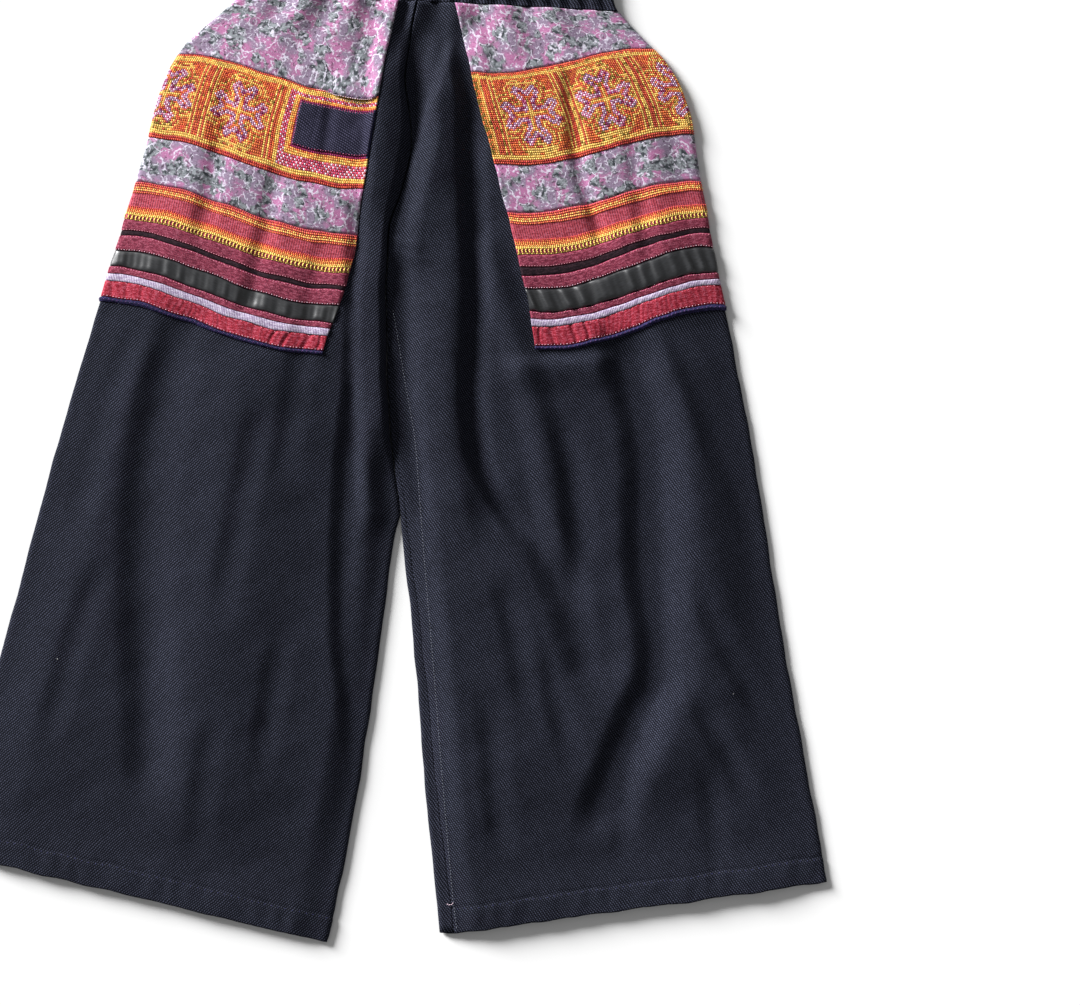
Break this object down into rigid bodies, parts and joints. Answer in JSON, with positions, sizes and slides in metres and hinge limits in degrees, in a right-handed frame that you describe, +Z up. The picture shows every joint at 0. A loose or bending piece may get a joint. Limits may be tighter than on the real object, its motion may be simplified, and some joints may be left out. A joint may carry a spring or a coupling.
{
  "type": "patchwork trousers laid flat",
  "caption": "Wide-leg trousers laid flat, front up, with a gathered waistband and a slanted patch of pieced bands wrapped round each hip.",
  "frame": {"origin": "centre of the outline on the surface that the garment lies on", "axes": "+Z up from the surface, +Y towards the waist, +X towards the wearer's left leg, on the viewer's right"},
  "size_m": [0.88, 0.978, 0.0151],
  "materials": {
    "twill": "matte navy-black cotton twill",
    "batik": "matte cotton, mauve and grey wax-resist print",
    "embroidery": "cross stitch in orange, yellow and pink cotton thread",
    "braid": "rows of chain and zigzag stitch over plum cloth",
    "tape": "matte dark red tape with stitched edges",
    "cord_dark": "matte dark cotton",
    "sateen": "sateen with a soft sheen",
    "ribbon": "pale lilac twisted ribbon",
    "crimson": "crimson cotton, puckered",
    "piping": "navy overlocked piping",
    "applique": "navy cotton"
  },
  "bodies": {
    "root": {"front_left": "twill", "front_right": "twill", "back_left": "twill", "back_right": "twill", "waistband_front": "twill", "waistband_back": "twill", "batik_top_left": "batik", "embroidery_left": "embroidery", "batik_low_left": "batik", "braid_left": "braid", "tape_high_left": "tape", "cord_dark_left": "cord_dark", "tape_low_left": "tape", "sateen_left": "sateen", "tape_thin_left": "tape", "ribbon_left": "ribbon", "crimson_left": "crimson", "piping_left": "piping", "batik_top_right": "batik", "embroidery_right": "embroidery", "batik_low_right": "batik", "braid_right": "braid", "tape_high_right": "tape", "cord_dark_right": "cord_dark", "tape_low_right": "tape", "sateen_right": "sateen", "tape_thin_right": "tape", "ribbon_right": "ribbon", "crimson_right": "crimson", "piping_right": "piping", "applique_right": "applique"}
  },
  "joints": []
}
